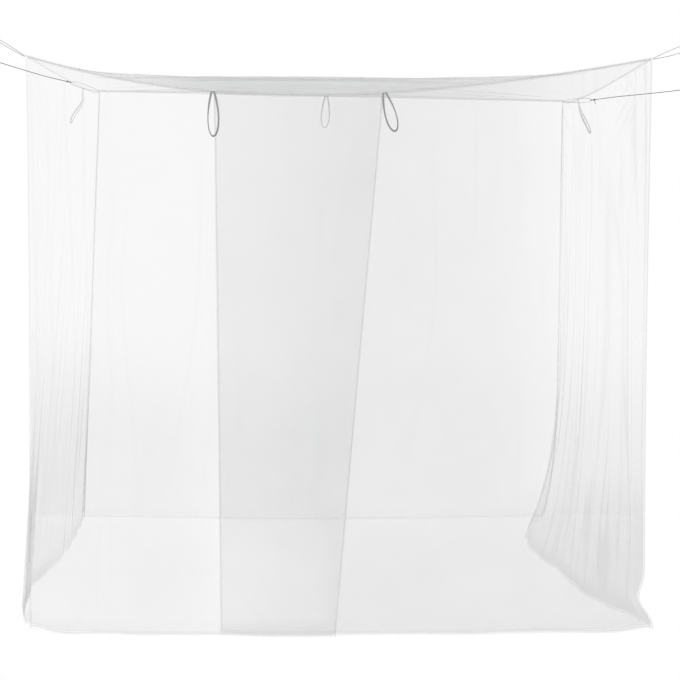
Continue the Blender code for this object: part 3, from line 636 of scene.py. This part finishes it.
def knot(name, centre, ahead, radius, way, look, tail=False):
    """Ring of cord closed by a slipped knot: three wraps round the standing cord, and a tail."""
    side, top = frame_along(ahead)
    ring_centre = centre + ahead * (way * (radius + knot_length / 4))
    turns = np.linspace(0, math.tau, 33)[:-1]
    ring = [ring_centre + (ahead * math.cos(a) + side * math.sin(a)) * radius for a in turns]
    ring = tube(name, ring, cord_diameter / 2, look, closed=True)
    strand, wrapped = cord_diameter * 0.38, math.tau * 3.2
    wraps = []
    for a in np.linspace(0, wrapped, 61):
        along = mix(-0.40, 0.40, a / wrapped) * knot_length
        swell = knot_radius - strand + 0.0002 * math.sin(a * 2)
        wraps.append(centre + ahead * along + (side * math.cos(a) + top * math.sin(a)) * swell)
    core = [centre + ahead * (knot_length * share) for share in (-0.4, 0, 0.4)]
    parts = [tube(name + "_wraps", wraps, strand, look, sides=8),
             tube(name + "_core", core, knot_radius * 0.62, look)]
    if tail:
        hanging = ahead - np.array((0, 0, 3.0))
        hanging /= norm(hanging)
        line = [centre + hanging * (tail_length * share) + side * 0.0012 * math.sin(share * 5)
                for share in np.linspace(0.05, 1, 12)]
        parts.append(tube(name + "_tail", line, cord_diameter * 0.42, look))
    with bpy.context.temp_override(active_object=ring, selected_editable_objects=[ring, *parts]):
        bpy.ops.object.join()
    return ring


def hang_cord(at, look):
    route = [corner(at) + np.array(point) for point in cord_routes[at]]
    first, last = route[1] - route[0], route[-1] - route[-2]
    start = knot(at + "_knot", route[0], first / norm(first), ring_radius, -1, look,
                 tail=(at == "rear_right"))
    end = knot(at + "_end_knot", route[-1], last / norm(last), end_ring_radius, 1, look)
    path = smooth_route(route, spacing=0.011)
    line = tube(at + "_taut_cord", path, cord_diameter / 2, look)
    for piece, node in ((start, "_cord_knot"), (line, "_cord"), (end, "_cord_end_loop")):
        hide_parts(at + node)
        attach(piece, "root")
    length = float(norm(np.diff(path, axis=0), axis=-1).sum())


# Roof and walls

tuck = 0.003  # how far the netting runs into the tape that it is sewn to


def from_corner(along, down):
    """Direction and distance of a place from a hanging corner."""
    return np.arctan2(along, down + 0.01), np.hypot(along, down)


def fan(along, down, seed):
    """Creases that spread from a hanging corner."""
    angle, far = from_corner(along, down)
    return creases(angle * 11, far / 0.5, seed) * fade(far / 0.06) * (1 - fade(far / 0.85))


def fan_lines(along, down, seed):
    """Thin pinched lines that spread from a hanging corner, from 0 to 1."""
    angle, far = from_corner(along, down)
    line = 1 - np.abs(noise(angle * 26, far / 0.45, seed)) / 0.30
    return np.clip(line, 0, 1) * fade(far / 0.10) * (1 - fade(far / 0.75))


def edge_fade(s, length, below_top, above_hem):
    """0 at the tapes round a wall and 1 inside it."""
    sides = fade(s * length / 0.025) * fade((1 - s) * length / 0.025)
    return sides * fade(below_top / 0.03) * fade(above_hem / 0.03)


def wall_grid(wall, columns, rows):
    s = np.linspace(0, 1, columns)[None, :]
    top = roof_edge(wall, s)[..., 2] - edge_tape_width / 2 + tuck
    bottom = floor_level + hem_height - tuck
    z = mix(top, bottom, np.linspace(0, 1, rows)[:, None])
    return s, z, top - z, z - bottom


def side_net(name, wall, look, node, seed, thread, foot_gather_and_shade, thinner=0.0):
    """Side wall: long slack pleats, finer crinkles, creases fanning from corners, drapes low down.

    thread is the netting's own cover, foot_gather_and_shade how much denser the wall is at its
    foot, partly for cloth bunched there and partly as painted shade, and thinner the share that
    its rear part lacks."""
    s, z, below, above = wall_grid(wall, columns=400, rows=150)
    along = s * wall.length
    back, from_seams = wall.length - along, np.minimum(along, wall.length - along)
    low, lowest = fade((below - 0.35) / 0.9), fade((0.75 - above) / 0.6)
    crinkles = pleats(along, below, pitch=0.028, run=0.60, seed=seed + 1)
    relief = mix(0.0020, 0.0046, low) * pleats(along, below, pitch=0.055, run=1.10, seed=seed)
    relief += mix(0.0006, 0.0022, low) * crinkles
    relief += 0.012 * lowest * pleats(along, below, pitch=0.11, run=1.30, seed=seed + 2)
    relief += 0.0016 * fan(along, below, seed + 3) + 0.0016 * fan(back, below, seed + 4)
    relief = relief * edge_fade(s, wall.length, below, above)

    near_seams = 1 - 0.6 * fade(from_seams / 0.30)
    pinch = pinches(along, below, pitch=0.052, run=1.40, seed=seed + 5) * mix(0.6, 1.2, low)
    pinch += 1.4 * pinches(along, below, pitch=0.040, run=1.20, seed=seed + 6) * near_seams
    pinch += 0.9 * pinches(along, below, pitch=0.036, run=1.30, seed=seed + 7) * low
    fans = fan_lines(along, below, seed + 8) + fan_lines(back, below, seed + 9)
    slack_corner = (1 - fade(back / 0.26)) * (1 - fade(below / 0.9))
    # Denser towards the foot: partly cloth bunched there, partly painted shade.
    gather = mix(1.0, foot_gather_and_shade, fade((0.90 - above) / 0.6))
    gather = gather * (1 - thinner * fade((s - 0.55) / 0.25)) + 3.0 * slack_corner
    hem_fold = (0.11 + 0.09 * (1 - fade(s / 0.6))) * hump(above, 0.045)
    cover = thread * (gather + mix(2.6, 3.4, low) * pinch + 2.8 * fans) + hem_fold
    return net(name, hang_softly(wall, s, z), relief, cover, look, [node], wall.outward)


def rear_net(look, thread=0.038, seed=40):
    s, z, below, above = wall_grid(rear, columns=240, rows=100)
    along = s * rear.length
    relief = 0.0022 * pleats(along, below, pitch=0.10, run=0.9, seed=seed)
    relief += 0.0007 * pleats(along, below, pitch=0.03, run=0.3, seed=seed + 1)
    for from_end, own_seed in ((along, seed + 2), (rear.length - along, seed + 3)):
        relief += 0.0025 * fan(from_end, below, own_seed)
    relief = relief * edge_fade(s, rear.length, below, above)
    pinch = pinches(along, below, pitch=0.07, run=1.3, seed=seed + 4)
    cover = thread * (1 + 0.6 * pinch + 1.0 * hump(above, 0.03))
    points = hang_softly(rear, s, z)
    return net("rear_netting", points, relief, cover, look, ["rear_wall_net"], rear.outward)


roof_fall = 4.8  # how steeply the roof falls to its edges, as a power of the way across


def roof_points(u, t):
    """Roof that stays high in its middle and falls steeply to its sagging edges."""
    u, t = np.broadcast_arrays(u, t)
    ahead, behind, left_side, right_side = (roof_edge(wall, at) for wall, at in (
        (front, u), (rear, u), (left, t), (right, t)))
    corners = [corner(name) for name in ("front_left", "front_right", "rear_left", "rear_right")]
    across = column(u)
    ruled = mix(mix(corners[0], corners[1], across), mix(corners[2], corners[3], across), column(t))
    points = mix(ahead, behind, column(t)) + mix(left_side, right_side, across) - ruled
    rise = 1 - (1 - t) ** roof_fall
    left_level = mix(corners[0][2], corners[2][2], rise)
    right_level = mix(corners[1][2], corners[3][2], rise)
    z = mix(ahead[..., 2], behind[..., 2], rise)
    z += (left_side[..., 2] - left_level) * (1 - u) ** roof_fall
    z += (right_side[..., 2] - right_level) * u ** roof_fall
    z += 0.004 * arch(u) * arch(t) * np.sin(math.tau * 6 * t + 2 * np.sin(math.pi * u))
    points[..., 2] = z + edge_tape_width / 4
    return points


def tension(across, away, seed):
    """Pulled creases along a roof edge, which draw together at its two corners."""
    reach = away / (arch(across) ** 0.8 + 0.04)
    wave = creases(reach * 24, across * 2.5, seed) + 0.6 * noise(reach * 47, across * 5, seed + 1)
    return wave * fade(reach / 0.05) * (1 - fade(reach / 0.75)) * fade(arch(across) / 0.35)


def roof_net(look, thread=0.52, seed=70):
    u, t = np.linspace(0, 1, 200)[None, :], np.linspace(0, 1, 460)[:, None]
    waver = 0.5 * noise(u * 2.2, t * 6, seed + 9)
    ripples = 0.0052 * noise(u * 2.2, t * 26 + waver, seed)
    ripples += 0.0012 * noise(u * 4, t * 60 + waver, seed + 10)
    at_front, at_rear = tension(u, t, seed + 1), tension(u, 1 - t, seed + 3)
    pulls = 0.0020 * at_front + 0.0014 * at_rear
    pulls += 0.0012 * tension(t, u, seed + 5) + 0.0012 * tension(t, 1 - u, seed + 7)
    inside = fade(u / 0.02) * fade((1 - u) / 0.02) * fade(t / 0.02) * fade((1 - t) / 0.02)
    relief = (ripples * fade(arch(u) * arch(t) * 3.5) + pulls) * inside
    gather = mix(0.24, 1.0, fade((u + 0.02) / 0.38)) * (1 - 0.48 * fade((u - 0.60) / 0.36))
    cover = thread * gather * (1 + 0.25 * np.maximum(at_front, at_rear).clip(0, 1))
    return net("roof_netting", roof_points(u, t), relief, cover, look, ["roof_net"],
               np.array((0, 0, 1.0)), most=0.62)


# Front panels

def panel_of(title, way, swing, edge_top, edge_foot, fold_foot):
    """Front panel: way is +1 if its free edge lies to the right, swing the Y its flap opens to."""
    panel = SimpleNamespace(title=title, way=way, swing=swing, edge_top=edge_top,
                            edge_foot=edge_foot)
    panel.top_z = float(roof_edge(front, front_place(edge_top, 0.0))[..., 2])
    panel.head_z = panel.top_z - 0.250
    panel.fold_head = edge_x(panel, panel.head_z)
    head_y = hanging_y(panel, panel.fold_head, panel.head_z)
    panel.head = np.array((panel.fold_head, head_y, panel.head_z))
    panel.heel = np.array((fold_foot, hanging_y(panel, fold_foot, floor_level), floor_level))
    panel.tip = np.array((edge_foot, hanging_y(panel, edge_foot, floor_level), floor_level))
    normal = np.cross(panel.head - panel.heel, panel.tip - panel.heel)
    panel.normal = normal / norm(normal) * np.sign(normal[1] * swing)
    return panel


def front_place(x, z):
    """Share of the way along the front at which the hanging wall has a given X."""
    s = np.asarray(x) / (2 * half_width) + 0.5
    for _ in range(4):
        s = np.clip(s, 0, 1)
        s = s + (x - hang(front, s, z)[..., 0]) / (2 * half_width)
    return s


def hanging_y(panel, x, z):
    s = front_place(x, z)
    drop = np.maximum((roof_edge(front, np.clip(s, 0, 1))[..., 2] - z) / net_height, 0)
    from_seam = s if panel.way > 0 else 1 - s
    apart = mix(0.001, 0.010, fade(drop / 0.14)) * fade(from_seam / 0.05)
    return hang(front, s, z)[..., 1] + panel.swing * apart


def edge_x(panel, z):
    return mix(panel.edge_top, panel.edge_foot, (panel.top_z - z) / (panel.top_z - floor_level))


def fold_distance(panel, x, z):
    """Distance from the slanting fold, positive on the flap's side."""
    run, heel = panel.head - panel.heel, panel.heel
    away = ((x - heel[0]) * run[2] - (z - heel[2]) * run[0]) / math.hypot(run[0], run[2])
    return away * panel.way


def panel_points(panel, x, z):
    """Points of a front panel: as it hangs, but flat beside the fold."""
    flat = panel.normal[0] * (x - panel.heel[0]) + panel.normal[2] * (z - panel.heel[2])
    flat_y = panel.heel[1] - flat / panel.normal[1]
    y = mix(flat_y, hanging_y(panel, x, z), fade(np.abs(fold_distance(panel, x, z)) / 0.120))
    return points_of(x, y, z)


def seam_x(panel, z):
    return hang(front, 0 if panel.way > 0 else 1, z)[..., 0]


def hem_low(panel, x, z):
    """Height of a hem's lower edge: on the floor, and just off it under the flap."""
    return floor_level + flap_floor_gap * fade(fold_distance(panel, x, z) / 0.05)


def front_density_with_painted_shade(title, x, below):
    """How dense a front panel looks from place to place, in the photograph's broad tones."""
    gather = 0.55 + 0.40 * hump(x - 0.18, 0.42) - 0.34 * fade((x - 0.50) / 0.35)
    # Painted shade: the panels are made denser low down, and denser or thinner along their feet, so
    # that they read darker where the floor behind them lies in shade.
    low, lowest = fade((below - 0.75) / 0.45), fade((below - 1.30) / 0.25)
    if title == "outer":
        gather += low * (0.27 + 0.65 * fade((-0.30 - x) / 0.3))
        gather -= lowest * 0.25 * fade((x + 0.45) / 0.1)
    else:
        gather += low * 0.22
        gather += lowest * (0.70 * fade((x - 0.35) / 0.35) - 0.30 * fade((0.05 - x) / 0.15))
    return gather + 0.10 * fade(below / 1.2)


def front_netting(panel, thread, look, seed):
    """Netting of a front panel and its flap, as cloth that goes on across the slanting fold."""
    share, drop = np.linspace(0, 1, 260)[None, :], np.linspace(0, 1, 150)[:, None]
    x = mix(-half_width * panel.way, panel.edge_top, share)
    for _ in range(4):
        at_top = np.clip(front_place(x, 0.0), 0, 1)
        top = roof_edge(front, at_top)[..., 2] - edge_tape_width / 2 + tuck
        z = mix(top, floor_level + hem_height - tuck, drop)
        x = mix(seam_x(panel, z), edge_x(panel, z) - panel.way * tuck, share)
    along, below = np.abs(x + half_width * panel.way), top - z
    above, inside = z - floor_level - hem_height, np.abs(edge_x(panel, z) - x)
    relief = 0.0022 * noise(along / 0.16, below / 1.3, seed)
    relief += 0.0008 * noise(along / 0.045, below / 0.9, seed + 1)
    relief += 0.0016 * fan(along, below, seed + 2)
    relief = relief * fade(along / 0.03) * fade(below / 0.25)
    relief = relief * fade(above / 0.03) * fade(inside / 0.03)
    pinch = pinches(along, below, pitch=0.05, run=1.3, seed=seed + 3) * fade((0.36 - along) / 0.3)
    title, points = panel.title, panel_points(panel, x, z)
    cover = thread * (front_density_with_painted_shade(title, x, below) + 0.28 * pinch + 0.35 * hump(above, 0.025))
    nodes = [title + "_panel_net", title + "_flap_net"]
    return net(title + "_front_netting", points, relief, cover, look, nodes, front.outward)


def front_cloth(panel, thread, netting, sewn, seed):
    """One front panel with its flap: its netting, the facing of its free edge and its hem."""
    title = panel.title
    cloth = front_netting(panel, thread, netting, seed)
    z = np.linspace(panel.top_z - edge_tape_width / 2, floor_level + flap_floor_gap, 240)
    outer = panel_points(panel, edge_x(panel, z), z)
    inner = panel_points(panel, edge_x(panel, z) - panel.way * facing_width, z)
    edge = strip(title + "_front_facing", inner, outer, tape_thickness, sewn, body=None, cover=0.15)
    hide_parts(title + "_panel_facing", title + "_flap_facing")

    end = edge_x(panel, floor_level) - panel.way * (facing_width + sewing_gap)
    x = mix(seam_x(panel, floor_level) + panel.way * tape_thickness, end, np.linspace(0, 1, 200))
    low = hem_low(panel, x, floor_level)
    lower, upper = panel_points(panel, x, low), panel_points(panel, x, low + hem_height)
    hem = strip(title + "_front_hem", lower, upper, tape_thickness, sewn, body=None, cover=0.22)
    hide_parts(title + "_panel_hem", title + "_flap_hem")

    away = np.cross(panel.normal, panel.head - panel.heel)
    away *= np.sign(np.dot(away, panel.tip - panel.heel)) / norm(away)
    for piece in (cloth, edge, hem):
        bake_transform(piece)
    return cloth, edge, hem


# Tapes

def edge_tape(title, wall, look, cover):
    points, half = roof_edge(wall, np.linspace(0, 1, 220)), np.array((0, 0, edge_tape_width / 2))
    return strip(title + "_roof_tape", points - half, points + half, tape_thickness, look,
                 title + "_edge_tape", cover=cover)


def wall_hem(title, wall, look):
    s = np.linspace(0.001, 0.999, 260)
    lower, upper = hang_softly(wall, s, floor_level), hang_softly(wall, s, floor_level + hem_height)
    return strip(title + "_wall_hem", lower, upper, tape_thickness, look, title + "_hem",
                 cover=0.12)


def corner_seam(at, wall, s, look, cover):
    peak = roof_edge(wall, s)[2]
    inner = hang(wall, s, np.linspace(peak + edge_tape_width / 2, floor_level, 200))
    outer = inner + outward_of(at) * seam_tape_width
    return strip(at + "_seam_tape", inner, outer, tape_thickness, look, at + "_seam", cover=cover)


def outward_of(at):
    x, y, _ = corner_shares[at]
    return np.array((math.copysign(1, x), math.copysign(1, y), 0)) / math.sqrt(2)


# Loops of tape

def tape_loop(name, start, reach, side, look, spread, tape_width, twisted, pinch, node, body,
              twirl=0.0, sway=0.0, cover=1.0):
    """Teardrop of flat tape: both ends at the start, its bend at start + reach, open along side.

    twirl turns the loop about its length on the way to its bend, sway bends it sideways, and pinch
    is the share of its width that the tape keeps at the bend."""
    steps, length = 128, reach.length
    along = reach.normalized()
    side = (side - along * side.dot(along)).normalized()
    normal = along.cross(side)
    base = ((tape_width if twisted else loop_tape_thickness) + strand_gap) / 2
    centres = []
    for k in range(steps + 1):
        angle = math.tau * k / steps
        far = (1 - math.cos(angle)) / 2
        half = base * (1 - far) * math.copysign(1, math.pi - angle)
        half += spread * math.sin(angle) * math.sin(angle / 2)
        turned = side * math.cos(twirl * far) + normal * math.sin(twirl * far)
        bent = normal * (sway * math.sin(math.tau * 0.8 * far) * float(fade(far / 0.3)))
        centres.append(start + along * (length * far) + turned * half + bent)
    side_a, side_b = [], []
    for k, centre in enumerate(centres):
        ahead = centres[min(k + 1, steps)] - centres[max(k - 1, 0)]
        if k in (0, steps):
            ahead = along * (1 - 2 * k / steps)
        far = (1 - math.cos(math.tau * k / steps)) / 2
        face = normal * math.cos(twirl * far) - side * math.sin(twirl * far)
        face = (face - ahead * (face.dot(ahead) / ahead.length_squared)).normalized()
        flat = ahead.cross(face).normalized()
        from_end = min(k, steps - k) / steps
        turn = math.pi / 2 * (0.62 * fade((from_end - 0.05) / 0.25) if twisted else 1)
        across = flat * math.cos(turn) + face * math.sin(turn)
        width = tape_width * mix(1, pinch, float(fade((from_end - 0.33) / 0.17)))
        side_a.append(centre - across * (width / 2))
        side_b.append(centre + across * (width / 2))
    return strip(name, side_a, side_b, loop_tape_thickness, look, node, body, cover)


def tie_loop(title, wall, s, lean_degrees, slant, look, twirl=0.0, sway=0.0, length=0.140,
             spread=0.021, cover=1.0):
    """Loop that hangs from a roof edge, leaning outwards, and along the edge by its slant."""
    lean = math.radians(lean_degrees)
    off_face = tape_thickness / 2 + sewing_gap + loop_tape_thickness / 2
    off_face += abs(slant) * math.sin(lean) * (tie_loop_tape_width + strand_gap / 2)
    outward = Vector(wall.outward)
    start = Vector(roof_edge(wall, s)) + outward * off_face
    step = Vector(roof_edge(wall, s + 0.04) - roof_edge(wall, s - 0.04))
    hanging = outward * math.sin(lean) - up * math.cos(lean) + step.normalized() * slant
    tape_loop(title + "_loop_tape", start, hanging.normalized() * length, step, look, spread,
              tie_loop_tape_width, twisted=True, pinch=1.0, node=title + "_tie_loop",
              body=title + "_tie_loop", twirl=math.radians(twirl), sway=sway, cover=cover)


def corner_loop(at, look):
    route = [Vector(corner(at)) + Vector(point) for point in cord_routes[at]]
    ahead = (route[1] - route[0]).normalized()
    out = Vector(outward_of(at))
    ring_centre = route[0] - ahead * (ring_radius + knot_length / 4)
    room = ring_radius - cord_diameter / 2 - sewing_gap * 2
    back = math.sqrt(room ** 2 - (corner_loop_tape_width / 4) ** 2) - loop_tape_thickness / 2
    bend = ring_centre - ahead * back
    along = (bend - Vector(corner(at))).normalized()
    slant = math.acos(min(out.dot(Vector((along.x, along.y, 0)).normalized()), 1.0))
    lean_back = abs(along.z) * (loop_tape_thickness + strand_gap)
    clear = (tape_thickness / 2 * math.sin(slant) + sewing_gap + lean_back) / math.cos(slant)
    start = Vector(corner(at)) + out * (seam_tape_width + clear)
    spread = 0.0045 if at == "front_left" else 0.012
    tape_loop(at + "_hanging_loop", start, bend - start, up, look, spread, corner_loop_tape_width,
              twisted=False, pinch=0.50, node=at + "_corner_loop", body="root")


# Assembly

set_camera()
set_studio()
netting, sewn, tape, cord = netting_look(), sewn_look(), tape_look(), cord_look()
for at in corner_shares:
    hang_cord(at, cord)
    corner_loop(at, tape)

roof_tapes = [edge_tape(title, wall, sewn, cover) for title, wall, cover in (
    ("front", front, 0.40), ("rear", rear, 0.32), ("left", left, 0.16), ("right", right, 0.28))]
for at, wall, s, cover in (("front_left", left, 0.0, 0.14), ("front_right", right, 0.0, 0.20),
                           ("rear_left", left, 1.0, 0.28), ("rear_right", right, 1.0, 0.16)):
    corner_seam(at, wall, s, sewn, cover)
roof = roof_net(netting)
rear_wall = rear_net(netting)
left_wall = side_net("left_netting", left, netting, "left_wall_net", seed=10,
                     thread=0.017, foot_gather_and_shade=8.8)
right_wall = side_net("right_netting", right, netting, "right_wall_net", seed=20,
                      thread=0.049, foot_gather_and_shade=3.6, thinner=0.5)
for piece in (roof, rear_wall, left_wall, right_wall):
    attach(piece, "root")
rear_hem, left_hem, right_hem = (wall_hem(title, wall, sewn) for title, wall in (
    ("rear", rear), ("left", left), ("right", right)))
outer_panel = panel_of("outer", way=1, swing=-1, edge_top=0.158, edge_foot=0.0, fold_foot=-0.84)
inner_panel = panel_of("inner", way=-1, swing=1, edge_top=-0.400, edge_foot=-0.380, fold_foot=0.84)
outer = front_cloth(outer_panel, 0.150, netting, sewn, seed=50)
inner = front_cloth(inner_panel, 0.275, netting, sewn, seed=60)

# The front loops hang where the panels' free edges start
at_inner_edge, at_outer_edge = (
    float(front_place(panel.edge_top, 0.0)) for panel in (inner_panel, outer_panel))
tie_loop("front_left", front, at_inner_edge, 16, 0.03, tape, twirl=18, length=0.152)
tie_loop("front_right", front, at_outer_edge, 21, 0.24, tape)
# The rear, left and right loops get a lower cover, so that they show paler: painted light, for
# loops that lie less in shade.
tie_loop("rear", rear, 0.49, 17, -0.06, tape, cover=0.38)
tie_loop("left", left, 0.50, 17, 0.0, tape, twirl=30, sway=0.010, spread=0.011, cover=0.22)
tie_loop("right", right, 0.60, 20, 0.0, tape, twirl=-22, sway=-0.004, spread=0.014, cover=0.36)
